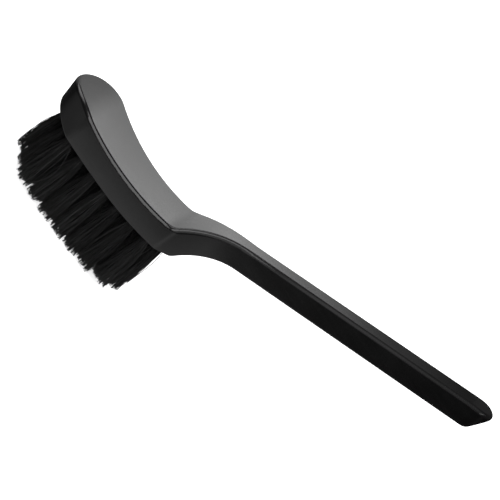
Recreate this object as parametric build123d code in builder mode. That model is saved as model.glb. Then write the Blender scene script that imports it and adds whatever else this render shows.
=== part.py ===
from build123d import *
import math
import os

# Wheel brush: a one-piece moulded body with a short gooseneck handle, set with
# filament tufts that flat wire anchors hold in blind holes.
#
# Millimetres. +X runs from the toe of the head to the end of the handle, +Z is up
# and the bristles point down. The origin is in the middle of the brush's length
# and width, at the level of its lowest bristle tips.
#
# "Station" is a distance along the brush from the tip of the toe. Heights in the
# profile are above the head's datum, a level line through the rim of the toe.

# --- overall -------------------------------------------------------------------
overall_length = 264.5
datum_height = 53.6
toe_x = -overall_length / 2

# --- back of the head and top of the handle, in side view ------------------------
crest_station = 12.8
crest_height = 2.0
crest_radius = 45.0
crest_toe_angle = 24.0
crest_heel_angle = 14.4
saddle_radius = 135.0
saddle_exit_angle = 12.9
neck_root_radius = 12.0
neck_root_angle = 47.9
neck_top_radius = 70.9
handle_angle = 21.9
end_crown_station = 252.5
end_crown_radius = 40.0
end_crown_angle = 20.0

# --- underside of the head and of the handle, in side view -----------------------
rocker_station = 58.0
rocker_height = -18.1
rocker_toe_radius = 320.0
rocker_toe_angle = 11.5
rocker_heel_radius = 160.0
rocker_heel_angle = 15.5
heel_radius = 5.0
heel_angle = 60.5
belly_radius = 47.0

end_bottom_station = 260.5
end_bottom_radius = 5.0

# --- outline from above -----------------------------------------------------------
cheek_station = 24.8
cheek_half_width = 29.7
waist_radius = 346.0
waist_angle = 11.3
shoulder_radius = 5.0
shoulder_angle = 46.0
funnel_radius = 44.5
handle_flare_angle = 0.57
end_round_station = 255.8

# --- nose of the head, whose wall slants inwards on its way down -------------------
nose_top_height = 4.0
nose_top_station = -1.6
nose_top_cheek_radius = 9.0
nose_bottom_height = -20.0
nose_bottom_station = 5.5
nose_bottom_cheek_radius = 6.0

# --- edges ---------------------------------------------------------------------------
top_edge_radius = 2.0
bottom_edge_radius = 0.8
# A face is part of the top or of the underside if its normal has more than this along Z.
flat_enough = 0.6

# --- tufts and their anchors ---------------------------------------------------------
tuft_pitch = 10.55
tuft_root_diameter = 5.0
tuft_tip_diameter = 7.0
tuft_hole_depth = 9.0
tuft_collar = 1.0
edge_margin = 5.2
row_starts = (25.6, 20.3, 13.6)
row_counts = (7, 8, 8)
row_fractions = (1.0, 0.6, 0.2)
trim_station = 60.0
trim_toe_radius = 200.0
trim_heel_radius = 115.0
anchor_length = 6.2
anchor_height = 1.8
anchor_thickness = 0.5
fold_thickness = 1.3


def heading(degrees):
    """Unit direction at an angle from the +X axis of a sketch."""
    return (math.cos(math.radians(degrees)), math.sin(math.radians(degrees)))


def profile_point(station, height):
    """Point of the side view, on the vertical plane through the brush's middle."""
    return (toe_x + station, datum_height + height)


def arc_sag(distance, radius):
    """How far an arc has left its tangent at a distance from where they touch."""
    return radius - math.sqrt(radius**2 - distance**2)


def rocker_z(station):
    """Height of the head's curved underside."""
    radius = rocker_toe_radius if station < rocker_station else rocker_heel_radius
    return datum_height + rocker_height + arc_sag(station - rocker_station, radius)


def trim_z(station):
    """Height of the bristle tips, which are trimmed to an arc."""
    radius = trim_toe_radius if station < trim_station else trim_heel_radius
    return arc_sag(station - trim_station, radius)


def shoulder_station():
    """Station where the waist ends and the shoulder begins."""
    return cheek_station + waist_radius * math.sin(math.radians(waist_angle))


def half_width(station):
    """Half the head's width, from its cheeks to its shoulders."""
    distance = min(max(shoulder_station() - station, 0.0), shoulder_station() - cheek_station)
    narrowest = cheek_half_width - waist_radius * (1 - math.cos(math.radians(waist_angle)))
    return narrowest + arc_sag(distance, waist_radius)


def nose_radius(tip_station, cheek_radius):
    """Radius of the arc from the nose's tip that runs smoothly into a cheek arc."""
    turn = math.radians(waist_angle)
    centre_x = cheek_station - cheek_radius * math.sin(turn) - tip_station
    centre_y = cheek_half_width - cheek_radius * math.cos(turn)
    return (centre_x**2 + centre_y**2 - cheek_radius**2) / (2 * (centre_x - cheek_radius))


def side_profile():
    """Side view of the body as one closed face on the XZ plane."""
    with BuildSketch(Plane.XZ) as profile:
        with BuildLine():
            sweep_back = math.radians(crest_toe_angle)
            start = profile_point(
                crest_station - crest_radius * math.sin(sweep_back),
                crest_height - crest_radius * (1 - math.cos(sweep_back)),
            )
            crest_turn = crest_toe_angle + crest_heel_angle
            saddle_turn = crest_heel_angle + saddle_exit_angle
            root_turn = neck_root_angle - saddle_exit_angle
            neck_turn = neck_root_angle - handle_angle
            crest = JernArc(start, heading(crest_toe_angle), crest_radius, -crest_turn)
            saddle = JernArc(crest @ 1, crest % 1, saddle_radius, saddle_turn)
            root = JernArc(saddle @ 1, saddle % 1, neck_root_radius, root_turn)
            neck = JernArc(root @ 1, root % 1, neck_top_radius, -neck_turn)
            back = Line(neck @ 1, along_handle(neck @ 1, end_crown_station))
            crown = JernArc(back @ 1, back % 1, end_crown_radius, -end_crown_angle)

            low = profile_point(rocker_station, rocker_height)
            toe_rocker = JernArc(low, heading(180), rocker_toe_radius, -rocker_toe_angle)
            heel_rocker = JernArc(low, heading(0), rocker_heel_radius, rocker_heel_angle)
            heel_turn = heel_angle - rocker_heel_angle
            heel = JernArc(heel_rocker @ 1, heel_rocker % 1, heel_radius, heel_turn)
            belly = JernArc(heel @ 1, heel % 1, belly_radius, handle_angle - heel_angle)
            palm = Line(belly @ 1, along_handle(belly @ 1, end_bottom_station))
            Line(palm @ 1, crown @ 1)
            Line(start, toe_rocker @ 1)
        make_face()
        end_corner = profile.vertices().sort_by_distance(Plane.XZ.from_local_coords(palm @ 1))
        fillet(end_corner[0], end_bottom_radius)
    return profile.sketch


def along_handle(start, station):
    """Point of the side view on the handle's slope from a start, at a station."""
    run = toe_x + station - start.X
    return (toe_x + station, start.Y + run * math.tan(math.radians(handle_angle)))


def nose_outline(height, tip_station, cheek_radius):
    """Outline of the nose at one height, back to where the cheeks end."""
    with BuildSketch(Plane.XY.offset(datum_height + height)) as outline:
        with BuildLine():
            radius = nose_radius(tip_station, cheek_radius)
            centre_x = cheek_station - cheek_radius * math.sin(math.radians(waist_angle))
            turn = math.acos((radius + tip_station - centre_x) / (radius - cheek_radius))
            nose_turn = math.degrees(turn)
            cheek_turn = 90 + waist_angle - nose_turn
            nose = JernArc((toe_x + tip_station, 0), heading(-90), radius, nose_turn)
            cheek = JernArc(nose @ 1, nose % 1, cheek_radius, cheek_turn)
            Line(cheek @ 1, (toe_x + cheek_station, 0))
            mirror(about=Plane.XZ)
        make_face()
    return outline.sketch


def main_outline():
    """Outline from above of all that lies behind the nose."""
    with BuildSketch() as outline:
        with BuildLine():
            start = (toe_x + cheek_station, -cheek_half_width)
            Line((toe_x + cheek_station, 0), start)
            waist = JernArc(start, heading(waist_angle), waist_radius, -waist_angle)
            shoulder = JernArc(waist @ 1, waist % 1, shoulder_radius, shoulder_angle)
            funnel_turn = shoulder_angle + handle_flare_angle
            funnel = JernArc(shoulder @ 1, shoulder % 1, funnel_radius, -funnel_turn)
            flare = math.radians(handle_flare_angle)
            run = toe_x + end_round_station - (funnel @ 1).X
            handle_end = (toe_x + end_round_station, (funnel @ 1).Y - run * math.tan(flare))
            handle = Line(funnel @ 1, handle_end)
            end_radius = -handle_end[1] / math.cos(flare)
            JernArc(handle @ 1, handle % 1, end_radius, 90 + handle_flare_angle)
            mirror(about=Plane.XZ)
        make_face()
    return outline.sketch


def tuft_places():
    """Name, station and Y of every tuft, row by row from the near side."""
    places = []
    row_number = 0
    for side in (-1, 1):
        order = (0, 1, 2) if side < 0 else (2, 1, 0)
        for row in order:
            row_number += 1
            for index in range(row_counts[row]):
                station = row_starts[row] + index * tuft_pitch
                y = side * row_fractions[row] * (half_width(station) - edge_margin)
                places.append((f"tuft_row{row_number}_{index + 1}", station, y))
    return places


def hole_end_z(station):
    """Height of a tuft hole's blind end."""
    return rocker_z(station) + tuft_hole_depth


def rim_edges(faces):
    """Edges that bound a group of faces: those that only one of them has."""
    edges = [edge for face in faces for edge in face.edges()]
    return [edge for edge in edges if sum(edge.is_same(other) for other in edges) == 1]


def make_anchors(places):
    """One flat wire anchor across the blind end of each tuft hole."""
    with BuildPart() as anchors:
        for _, station, y in places:
            z = hole_end_z(station) - fold_thickness - anchor_height / 2
            with Locations((toe_x + station, y, z)):
                Box(anchor_length, anchor_thickness, anchor_height)
    return anchors.part


def make_body(places, anchors):
    """The moulded head, neck and handle, with the blind holes for the tufts."""
    with BuildPart() as body:
        with BuildSketch(Plane.XY.offset(datum_height + nose_bottom_height)):
            add(main_outline())
        extrude(amount=overall_length)
        loft(
            [
                nose_outline(nose_bottom_height, nose_bottom_station, nose_bottom_cheek_radius),
                nose_outline(nose_top_height, nose_top_station, nose_top_cheek_radius),
            ],
            ruled=True,
        )
        extrude(side_profile(), amount=overall_length, both=True, mode=Mode.INTERSECT)
        upward = body.faces().filter_by(lambda face: face.normal_at().Z > flat_enough)
        fillet(rim_edges(upward), top_edge_radius)
        downward = body.faces().filter_by(lambda face: face.normal_at().Z < -flat_enough)
        fillet(rim_edges(downward), bottom_edge_radius)
        for _, station, y in places:
            with Locations((toe_x + station, y, 0)):
                Cylinder(
                    tuft_root_diameter / 2,
                    hole_end_z(station),
                    align=(Align.CENTER, Align.CENTER, Align.MIN),
                    mode=Mode.SUBTRACT,
                )
        add(anchors, mode=Mode.SUBTRACT)
    return body.part


def make_tuft(station, y, anchors):
    """A bundle of filaments folded round its anchor, straight in its hole, then flaring."""
    with BuildPart() as tuft:
        with BuildSketch(Plane.XY.offset(rocker_z(station) - tuft_collar)) as root:
            with Locations((toe_x + station, y)):
                Circle(tuft_root_diameter / 2)
        extrude(amount=tuft_collar + tuft_hole_depth)
        with BuildSketch(Plane.XY.offset(trim_z(station))):
            with Locations((toe_x + station, y)):
                Circle(tuft_tip_diameter / 2)
        loft([root.sketch, tuft.pending_faces.pop()])
        add(anchors, mode=Mode.SUBTRACT)
    return tuft.part


places = tuft_places()
anchors = make_anchors(places)
pieces = {
    "brush_body": make_body(places, anchors),
    "tuft_anchors": anchors,
}
for name, station, y in places:
    pieces[name] = make_tuft(station, y, anchors)

os.makedirs("parts", exist_ok=True)
for name, piece in pieces.items():
    piece.label = name
    export_step(piece, f"parts/{name}.step")
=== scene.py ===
import math

import bpy
import numpy as np
from mathutils import Matrix, Vector


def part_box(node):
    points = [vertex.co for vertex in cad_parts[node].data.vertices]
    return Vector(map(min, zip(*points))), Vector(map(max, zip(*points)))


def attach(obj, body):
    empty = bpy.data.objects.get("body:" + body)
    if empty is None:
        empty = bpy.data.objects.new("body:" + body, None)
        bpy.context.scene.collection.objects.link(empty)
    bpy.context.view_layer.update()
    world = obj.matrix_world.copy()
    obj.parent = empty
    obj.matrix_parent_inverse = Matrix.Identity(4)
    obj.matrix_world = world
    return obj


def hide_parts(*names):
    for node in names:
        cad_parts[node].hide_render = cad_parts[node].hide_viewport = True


# Wheel brush: the CAD body and its anchors are kept and get their materials, and each
# CAD tuft is replaced by a bundle of folded filaments. All lengths are in metres.

# --- tuft holes and anchors, as in the CAD ---------------------------------------------
HOLE_DEPTH = 0.009
FOLD_THICKNESS = 0.0013
ANCHOR_HEIGHT = 0.0018
ANCHOR_HALF_THICKNESS = 0.00025

# --- filaments -------------------------------------------------------------------------
FILAMENT_RADIUS = 0.00019
FILAMENT_SIDES = 5
PAIRS_PER_TUFT = 75
FREE_RINGS = 11
FOLD_RINGS = 5
HOLE_FILL_RADIUS = 0.00225
FIRST_SEED = 7100
GOLDEN_ANGLE = math.pi * (3 - math.sqrt(5))

# A tuft is this many times wider at its tips than in its hole, and opens faster near the
# hole. Its tips lean along X by SPLAY for each metre from SPLAY_CENTRE_X.
TIP_FLARE = 2.35
FLARE_POWER = 0.7
SPLAY = 0.022
SPLAY_CENTRE_X = -0.14

# Tips are pulled part of the way to the clumps they belong to, and are cut unevenly.
CLUMPS_PER_TUFT = 40
CLUMP_PULL = 0.5
CLUMP_SCATTER = 0.0004
CLUMP_SHORTFALL = 0.0013
TIP_SCATTER = 0.00025
TIP_SHORTFALL = 0.0007

# A filament bows once and waves slowly and quickly. A few strays bow more.
BOW = 0.0008
STRAY_SHARE = 0.03
STRAY_GAIN = 2.5
SLOW_WAVE = 0.0004
SLOW_WAVE_TURNS = (3.0, 6.0)
QUICK_WAVE = 0.00016
QUICK_WAVE_TURNS = (9.0, 16.0)

# --- materials ---------------------------------------------------------------------------
PLASTIC_IOR = 1.49
FILAMENT_SPECULAR = 0.35
USUAL_NOISE = (0.3, 0.7)

# Sockets of a mix node set to colour.
MIX_FACTOR, MIX_A, MIX_B, MIX_RESULT = 0, 6, 7, 2

# --- camera ------------------------------------------------------------------------------
VIEW_CENTRE = Vector((-0.00865, 0.0, 0.0747))
VIEW_WIDTH = 0.2564
VIEW_DISTANCE = 5.0
VIEW_ELEVATION = math.radians(18.5)
VIEW_ROLL = math.radians(55.3)
SENSOR_WIDTH = 36.0

# --- studio ------------------------------------------------------------------------------
# The card's top edge, as (x, z, glow), and how its glow changes down to its foot, as
# (share of the height, gain).
CARD_Y = 0.15
CARD_TOP = (
    (-0.4, 0.13, 0.15),
    (-0.12, 0.128, 0.65),
    (-0.07, 0.124, 1.35),
    (-0.02, 0.142, 0.62),
    (0.03, 0.163, 0.14),
    (0.09, 0.19, 0.006),
)
CARD_STEPS = ((1.0, 3.2), (0.94, 1.6), (0.87, 1.0), (0.77, 0.8), (0.55, 0.65), (0.0, 0.45))

# The flag runs along the handle, as (x, z, glow), and bends over it, as (y, rise, gain).
FLAG_SPINE = (
    (-0.03, 0.07, 0.4),
    (0.0, 0.085, 0.8),
    (0.03, 0.1, 0.65),
    (0.06, 0.112, 0.35),
    (0.19, 0.16, 0.03),
)
FLAG_BENDS = (
    (-0.12, -0.02, 1.0),
    (-0.1, 0.04, 1.0),
    (-0.05, 0.075, 1.0),
    (0.0, 0.085, 0.4),
    (0.06, 0.065, 0.05),
)

# What the brush's gloss sees of the floor, front to back and toe to handle: the range in
# metres, and the grey levels along it.
FLOOR_DEPTH = (-0.3, 0.1)
FLOOR_DEPTH_STOPS = (
    (0.0, 0.01),
    (0.15, 0.02),
    (0.3, 0.06),
    (0.42, 0.5),
    (0.7, 0.3),
    (0.82, 0.04),
)
FLOOR_LENGTH = (-0.4, 0.2)
FLOOR_LENGTH_STOPS = ((0.0, 0.2), (0.38, 0.45), (0.5, 1.0), (0.76, 1.0), (1.0, 0.1))
FLOOR_PAPER = (0.95, 0.95, 0.95, 1.0)
FLOOR_HALF_WIDTH = 6.0
FLOOR_GLOW = 0.85
WORLD_SEEN_BY_BRUSH = 0.07
WORLD_SEEN_BY_CAMERA = 1.0

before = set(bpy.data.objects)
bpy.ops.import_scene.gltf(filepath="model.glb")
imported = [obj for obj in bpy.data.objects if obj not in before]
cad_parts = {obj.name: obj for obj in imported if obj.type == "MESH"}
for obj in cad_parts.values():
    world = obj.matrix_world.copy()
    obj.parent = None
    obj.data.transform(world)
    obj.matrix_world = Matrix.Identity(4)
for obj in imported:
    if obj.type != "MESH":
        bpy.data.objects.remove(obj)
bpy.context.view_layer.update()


def new_material(name):
    """A node material: its tree and its principled shader."""
    material = bpy.data.materials.new(name)
    material.use_nodes = True
    return material, material.node_tree, material.node_tree.nodes["Principled BSDF"]


def noise(tree, scale, detail, stretch=(1.0, 1.0, 1.0)):
    """A noise texture in the object's own metres, scaled along each axis."""
    place = tree.nodes.new("ShaderNodeTexCoord")
    mapping = tree.nodes.new("ShaderNodeMapping")
    mapping.inputs["Scale"].default_value = stretch
    texture = tree.nodes.new("ShaderNodeTexNoise")
    texture.inputs["Scale"].default_value = scale
    texture.inputs["Detail"].default_value = detail
    tree.links.new(place.outputs["Object"], mapping.inputs["Vector"])
    tree.links.new(mapping.outputs["Vector"], texture.inputs["Vector"])
    return texture.outputs["Fac"]


def ramp(tree, source, stops):
    """A colour ramp over a value: stops are (position, grey level)."""
    node = tree.nodes.new("ShaderNodeValToRGB")
    while len(node.color_ramp.elements) < len(stops):
        node.color_ramp.elements.new(1.0)
    for element, (position, level) in zip(node.color_ramp.elements, stops):
        element.position = position
        element.color = (level, level, level, 1.0)
    tree.links.new(source, node.inputs["Fac"])
    return node.outputs["Color"]


def span(tree, value, low, high):
    """How far a value lies between two others, from 0 to 1."""
    share = tree.nodes.new("ShaderNodeMapRange")
    share.inputs["From Min"].default_value = low
    share.inputs["From Max"].default_value = high
    tree.links.new(value, share.inputs["Value"])
    return share.outputs["Result"]


def spread(tree, source, low, high):
    """The value of a texture, mapped from its usual range to low and high."""
    node = tree.nodes.new("ShaderNodeMapRange")
    node.inputs["From Min"].default_value = USUAL_NOISE[0]
    node.inputs["From Max"].default_value = USUAL_NOISE[1]
    node.inputs["To Min"].default_value = low
    node.inputs["To Max"].default_value = high
    tree.links.new(source, node.inputs["Value"])
    return node.outputs["Result"]


def bump(tree, height, distance, under=None):
    """A bump of one height field, on top of another bump if there is one."""
    node = tree.nodes.new("ShaderNodeBump")
    node.inputs["Distance"].default_value = distance
    tree.links.new(height, node.inputs["Height"])
    if under is not None:
        tree.links.new(under, node.inputs["Normal"])
    return node.outputs["Normal"]


def body_plastic():
    """Black moulded plastic: a fine satin grain, faint flow and a few hairlines."""
    material, tree, shader = new_material("body_plastic")
    flow = noise(tree, scale=90.0, detail=2.0, stretch=(0.5, 1.0, 1.0))
    grain = noise(tree, scale=2600.0, detail=3.0)
    hairline = noise(tree, scale=700.0, detail=2.0, stretch=(0.06, 1.0, 1.0))
    colour = ramp(tree, flow, [(0.3, 0.003), (0.7, 0.005)])
    tree.links.new(colour, shader.inputs["Base Color"])
    tree.links.new(spread(tree, hairline, low=0.19, high=0.23), shader.inputs["Roughness"])
    shader.inputs["IOR"].default_value = PLASTIC_IOR
    soft = bump(tree, flow, distance=0.00002)
    tree.links.new(bump(tree, grain, distance=0.000002, under=soft), shader.inputs["Normal"])
    return material


def bristle_plastic():
    """Black filament: each one has its own tone, and its drawn surface is streaked."""
    material, tree, shader = new_material("bristle_plastic")
    tone = tree.nodes.new("ShaderNodeAttribute")
    tone.attribute_name = "filament_tone"
    colour = ramp(tree, tone.outputs["Fac"], [(0.0, 0.002), (0.75, 0.005), (1.0, 0.026)])
    tree.links.new(colour, shader.inputs["Base Color"])
    streak = noise(tree, scale=4000.0, detail=2.0, stretch=(1.0, 1.0, 0.05))
    tree.links.new(spread(tree, streak, low=0.34, high=0.5), shader.inputs["Roughness"])
    shader.inputs["IOR"].default_value = PLASTIC_IOR
    shader.inputs["Specular IOR Level"].default_value = FILAMENT_SPECULAR
    tree.links.new(bump(tree, streak, distance=0.00002), shader.inputs["Normal"])
    return material


def anchor_steel():
    """Flat galvanised wire with drawing marks along its length."""
    material, tree, shader = new_material("anchor_steel")
    drawn = noise(tree, scale=6000.0, detail=2.0, stretch=(0.05, 1.0, 1.0))
    colour = ramp(tree, drawn, [(0.3, 0.5), (0.7, 0.66)])
    tree.links.new(colour, shader.inputs["Base Color"])
    tree.links.new(spread(tree, drawn, low=0.25, high=0.45), shader.inputs["Roughness"])
    shader.inputs["Metallic"].default_value = 1.0
    tree.links.new(bump(tree, drawn, distance=0.00001), shader.inputs["Normal"])
    return material


def finish_with(piece, material):
    """Gives a piece that material alone."""
    piece.data.materials.clear()
    piece.data.materials.append(material)


def spiral(count, radius):
    """Points spread evenly over a disc."""
    turn = GOLDEN_ANGLE * np.arange(count)
    reach = radius * np.sqrt((np.arange(count) + 0.5) / count)
    return np.column_stack((reach * np.cos(turn), reach * np.sin(turn)))


def free_leg(root, tip, free, chance):
    """Offsets of one filament from its tuft's axis, from the mouth of the hole to its tip."""
    stray = STRAY_GAIN if chance.random() < STRAY_SHARE else 1.0
    bow = chance.normal(0.0, BOW * stray, 2)
    phase = chance.uniform(0.0, 2 * math.pi, 4)
    slow, quick = chance.uniform(*SLOW_WAVE_TURNS), chance.uniform(*QUICK_WAVE_TURNS)
    along = free[:, None]
    slow_wave = SLOW_WAVE * np.sin(slow * along + phase[:2])
    quick_wave = QUICK_WAVE * np.sin(quick * along + phase[2:])
    wave = slow_wave + quick_wave
    flare = (tip - root) * along**FLARE_POWER
    return root + flare + (bow * np.sin(math.pi * along) + wave * along)


def tuft_paths(lowest, highest, chance):
    """Centre lines of one tuft's filaments, each folded over the anchor, tip to tip."""
    axis = np.array(((lowest.x + highest.x) / 2, (lowest.y + highest.y) / 2))
    lean = SPLAY * (axis[0] - SPLAY_CENTRE_X)
    mouth_z = highest.z - HOLE_DEPTH
    anchor_top = highest.z - FOLD_THICKNESS
    anchor_low = anchor_top - ANCHOR_HEIGHT
    nearest = ANCHOR_HALF_THICKNESS + FILAMENT_RADIUS
    free = np.linspace(0.0, 1.0, FREE_RINGS)
    turn = np.linspace(-math.pi / 2, math.pi / 2, FOLD_RINGS)
    clumps = spiral(CLUMPS_PER_TUFT, HOLE_FILL_RADIUS * TIP_FLARE)
    clumps = clumps + chance.normal(0.0, CLUMP_SCATTER, clumps.shape)
    shortfalls = np.abs(chance.normal(0.0, CLUMP_SHORTFALL, CLUMPS_PER_TUFT))
    paths = []
    for along, across in spiral(PAIRS_PER_TUFT, HOLE_FILL_RADIUS):
        beside = nearest + abs(across) * (1 - nearest / HOLE_FILL_RADIUS)
        legs = []
        for side in (-1, 1):
            root = np.array((along, side * beside))
            tip = root * TIP_FLARE
            clump = np.argmin(np.linalg.norm(clumps - tip, axis=1))
            tip = tip + CLUMP_PULL * (clumps[clump] - tip)
            tip = tip + chance.normal(0.0, TIP_SCATTER, 2) + (lean, 0.0)
            offsets = free_leg(root, tip, free, chance)
            shortfall = shortfalls[clump] + abs(chance.normal(0.0, TIP_SHORTFALL))
            z = mouth_z + (lowest.z + shortfall - mouth_z) * free
            leg = np.column_stack((axis + offsets, z))
            legs.append(np.vstack((leg[::-1], (*(axis + root), anchor_low))))
        share = (beside - nearest) / (HOLE_FILL_RADIUS - nearest)
        rise = FILAMENT_RADIUS + share * (FOLD_THICKNESS - 2 * FILAMENT_RADIUS)
        fold_y = axis[1] + beside * np.sin(turn)
        fold_z = anchor_top + rise * np.cos(turn)
        fold = np.column_stack((np.full(FOLD_RINGS, axis[0] + along), fold_y, fold_z))
        paths.append(np.vstack((legs[0], fold, legs[1][::-1])))
    return np.array(paths)


def filament_mesh(name, paths, tones):
    """One mesh of closed tubes along paths, each tube carrying its tone."""
    count, rings = paths.shape[:2]
    tangent = np.gradient(paths, axis=1)
    tangent /= np.linalg.norm(tangent, axis=2, keepdims=True)
    first = np.array((1.0, 0.0, 0.0)) - tangent * tangent[:, :, :1]
    first /= np.linalg.norm(first, axis=2, keepdims=True)
    second = np.cross(tangent, first)
    angles = 2 * math.pi * np.arange(FILAMENT_SIDES) / FILAMENT_SIDES
    across = first[:, :, None] * np.cos(angles)[:, None]
    upward = second[:, :, None] * np.sin(angles)[:, None]
    circle = across + upward
    points = (paths[:, :, None] + FILAMENT_RADIUS * circle).reshape(-1, 3)
    faces = []
    for tube in range(count):
        base = tube * rings * FILAMENT_SIDES
        for ring in range(rings - 1):
            low = base + ring * FILAMENT_SIDES
            for side in range(FILAMENT_SIDES):
                after = (side + 1) % FILAMENT_SIDES
                high = low + FILAMENT_SIDES
                faces.append((low + side, low + after, high + after, high + side))
        last = base + (rings - 1) * FILAMENT_SIDES
        faces.append(tuple(range(base + FILAMENT_SIDES - 1, base - 1, -1)))
        faces.append(tuple(range(last, last + FILAMENT_SIDES)))
    mesh = bpy.data.meshes.new(name)
    mesh.from_pydata(points.tolist(), [], faces)
    attribute = mesh.attributes.new("filament_tone", "FLOAT", "POINT")
    attribute.data.foreach_set("value", np.repeat(tones, rings * FILAMENT_SIDES))
    mesh.polygons.foreach_set("use_smooth", [len(face) == 4 for face in faces])
    mesh.update()
    return mesh


def make_tufts(material):
    """A filament bundle in place of each CAD tuft."""
    tufts = sorted(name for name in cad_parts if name.startswith("tuft_row"))
    for number, node in enumerate(tufts):
        chance = np.random.default_rng(FIRST_SEED + number)
        lowest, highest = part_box(node)
        paths = tuft_paths(lowest, highest, chance)
        tones = chance.uniform(0.0, 1.0, PAIRS_PER_TUFT)
        mesh = filament_mesh(node.replace("tuft", "bristles"), paths, tones)
        piece = bpy.data.objects.new(mesh.name, mesh)
        bpy.context.scene.collection.objects.link(piece)
        finish_with(piece, material)
        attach(piece, "root")
        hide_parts(node)


def make_camera():
    """A long lens at the brush's three-quarter angle, rolled so that it lies diagonally."""
    sin_e, cos_e = math.sin(VIEW_ELEVATION), math.cos(VIEW_ELEVATION)
    sin_r, cos_r = math.sin(VIEW_ROLL), math.cos(VIEW_ROLL)
    right = Vector((cos_r, sin_r * sin_e, sin_r * cos_e))
    up = Vector((-sin_r, cos_r * sin_e, cos_r * cos_e))
    back = Vector((0.0, -cos_e, sin_e))
    data = bpy.data.cameras.new("camera")
    data.sensor_width = SENSOR_WIDTH
    data.lens = SENSOR_WIDTH * VIEW_DISTANCE / VIEW_WIDTH
    data.clip_end = 4 * VIEW_DISTANCE
    camera = bpy.data.objects.new("camera", data)
    bpy.context.scene.collection.objects.link(camera)
    turn = Matrix((right, up, back)).transposed()
    place = Matrix.Translation(VIEW_CENTRE + back * VIEW_DISTANCE)
    camera.matrix_world = place @ turn.to_4x4()
    bpy.context.scene.camera = camera


def softbox(name, place, aim, size, radiance):
    """A rectangular area light of that radiance, seen in reflections but not directly."""
    data = bpy.data.lights.new(name, "AREA")
    data.shape = "RECTANGLE"
    data.size, data.size_y = size
    data.energy = radiance * math.pi * size[0] * size[1]
    light = bpy.data.objects.new(name, data)
    light.location = place
    light.rotation_euler = (Vector(aim) - Vector(place)).to_track_quat("-Z", "Y").to_euler()
    light.visible_camera = False
    bpy.context.scene.collection.objects.link(light)


def glossy_card(name, rows):
    """A graded glowing sheet that only the gloss sees, and only its front.

    Each row holds (place, glow) points along the sheet, and all the rows are as long.
    """
    mesh = bpy.data.meshes.new(name)
    columns = len(rows[0])
    faces = []
    for row in range(len(rows) - 1):
        for column in range(columns - 1):
            low = row * columns + column
            faces.append((low, low + columns, low + columns + 1, low + 1))
    mesh.from_pydata([place for row in rows for place, _ in row], [], faces)
    levels = [glow for row in rows for _, glow in row]
    mesh.attributes.new("glow", "FLOAT", "POINT").data.foreach_set("value", levels)
    card = bpy.data.objects.new(name, mesh)
    bpy.context.scene.collection.objects.link(card)
    card.visible_camera = False
    card.visible_diffuse = False
    card.visible_shadow = False
    material = bpy.data.materials.new(name)
    material.use_nodes = True
    tree = material.node_tree
    tree.nodes.remove(tree.nodes["Principled BSDF"])
    level = tree.nodes.new("ShaderNodeAttribute")
    level.attribute_name = "glow"
    emission = tree.nodes.new("ShaderNodeEmission")
    tree.links.new(level.outputs["Fac"], emission.inputs["Strength"])
    behind = tree.nodes.new("ShaderNodeNewGeometry")
    clear = tree.nodes.new("ShaderNodeBsdfTransparent")
    choose = tree.nodes.new("ShaderNodeMixShader")
    tree.links.new(behind.outputs["Backfacing"], choose.inputs["Fac"])
    tree.links.new(emission.outputs["Emission"], choose.inputs[1])
    tree.links.new(clear.outputs["BSDF"], choose.inputs[2])
    tree.links.new(choose.outputs["Shader"], tree.nodes["Material Output"].inputs["Surface"])
    finish_with(card, material)


def make_card():
    """A card low behind the brush, brightest along its top."""
    rows = []
    for share, gain in CARD_STEPS:
        rows.append([((x, CARD_Y, z * share), gain * level) for x, z, level in CARD_TOP])
    glossy_card("card", rows)


def make_flag():
    """A sheet just over the handle that shades the overhead box from the handle's near rim."""
    rows = []
    for y, rise, gain in FLAG_BENDS:
        rows.append([((x, y, z + rise), gain * level) for x, z, level in FLAG_SPINE])
    glossy_card("flag", rows)


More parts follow.
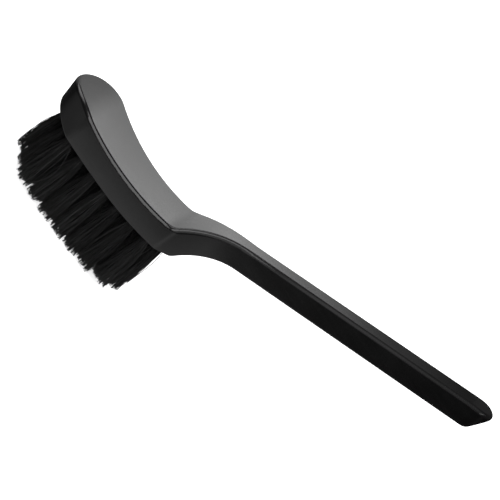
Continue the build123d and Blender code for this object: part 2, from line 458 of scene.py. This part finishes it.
def make_floor():
    """A pale floor that the brush's gloss sees pale only in a strip in front of the head."""
    mesh = bpy.data.meshes.new("floor")
    half = FLOOR_HALF_WIDTH
    corners = [(-half, -half, 0.0), (half, -half, 0.0), (half, half, 0.0), (-half, half, 0.0)]
    mesh.from_pydata(corners, [], [(0, 1, 2, 3)])
    floor = bpy.data.objects.new("floor", mesh)
    bpy.context.scene.collection.objects.link(floor)
    material, tree, shader = new_material("floor_paper")
    shader.inputs["Roughness"].default_value = 0.9
    shader.inputs["Specular IOR Level"].default_value = 0.0
    place = tree.nodes.new("ShaderNodeTexCoord")
    axes = tree.nodes.new("ShaderNodeSeparateXYZ")
    tree.links.new(place.outputs["Object"], axes.inputs["Vector"])
    deep = span(tree, axes.outputs["Y"], *FLOOR_DEPTH)
    wide = span(tree, axes.outputs["X"], *FLOOR_LENGTH)
    strip = tree.nodes.new("ShaderNodeVectorMath")
    strip.operation = "MULTIPLY"
    tree.links.new(ramp(tree, deep, FLOOR_DEPTH_STOPS), strip.inputs[0])
    tree.links.new(ramp(tree, wide, FLOOR_LENGTH_STOPS), strip.inputs[1])
    ray = tree.nodes.new("ShaderNodeLightPath")
    choose = tree.nodes.new("ShaderNodeMix")
    choose.data_type = "RGBA"
    choose.inputs[MIX_B].default_value = FLOOR_PAPER
    tree.links.new(ray.outputs["Is Camera Ray"], choose.inputs[MIX_FACTOR])
    tree.links.new(strip.outputs["Vector"], choose.inputs[MIX_A])
    tree.links.new(choose.outputs[MIX_RESULT], shader.inputs["Base Color"])
    tree.links.new(choose.outputs[MIX_RESULT], shader.inputs["Emission Color"])
    shader.inputs["Emission Strength"].default_value = FLOOR_GLOW
    finish_with(floor, material)


def make_world():
    """Pale to the camera, dim to the brush, so that its gloss shows the lights and cards."""
    world = bpy.data.worlds.new("surroundings")
    bpy.context.scene.world = world
    world.use_nodes = True
    tree = world.node_tree
    background = tree.nodes["Background"]
    background.inputs["Color"].default_value = (1.0, 1.0, 1.0, 1.0)
    ray = tree.nodes.new("ShaderNodeLightPath")
    level = tree.nodes.new("ShaderNodeMapRange")
    level.inputs["To Min"].default_value = WORLD_SEEN_BY_BRUSH
    level.inputs["To Max"].default_value = WORLD_SEEN_BY_CAMERA
    tree.links.new(ray.outputs["Is Camera Ray"], level.inputs["Value"])
    tree.links.new(level.outputs["Result"], background.inputs["Strength"])


make_camera()
bpy.context.scene.view_settings.view_transform = "Standard"
make_world()
make_floor()
make_card()
make_flag()
softbox(
    "overhead",
    place=(0.17, -0.6, 0.82),
    aim=(0.14, 0.0, 0.05),
    size=(1.32, 1.3),
    radiance=3.1,
)
softbox(
    "toe_side",
    place=(-0.95, 0.38, 0.72),
    aim=(-0.12, 0.0, 0.07),
    size=(0.85, 0.85),
    radiance=2.2,
)

finish_with(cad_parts["brush_body"], body_plastic())
finish_with(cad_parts["tuft_anchors"], anchor_steel())
make_tufts(bristle_plastic())
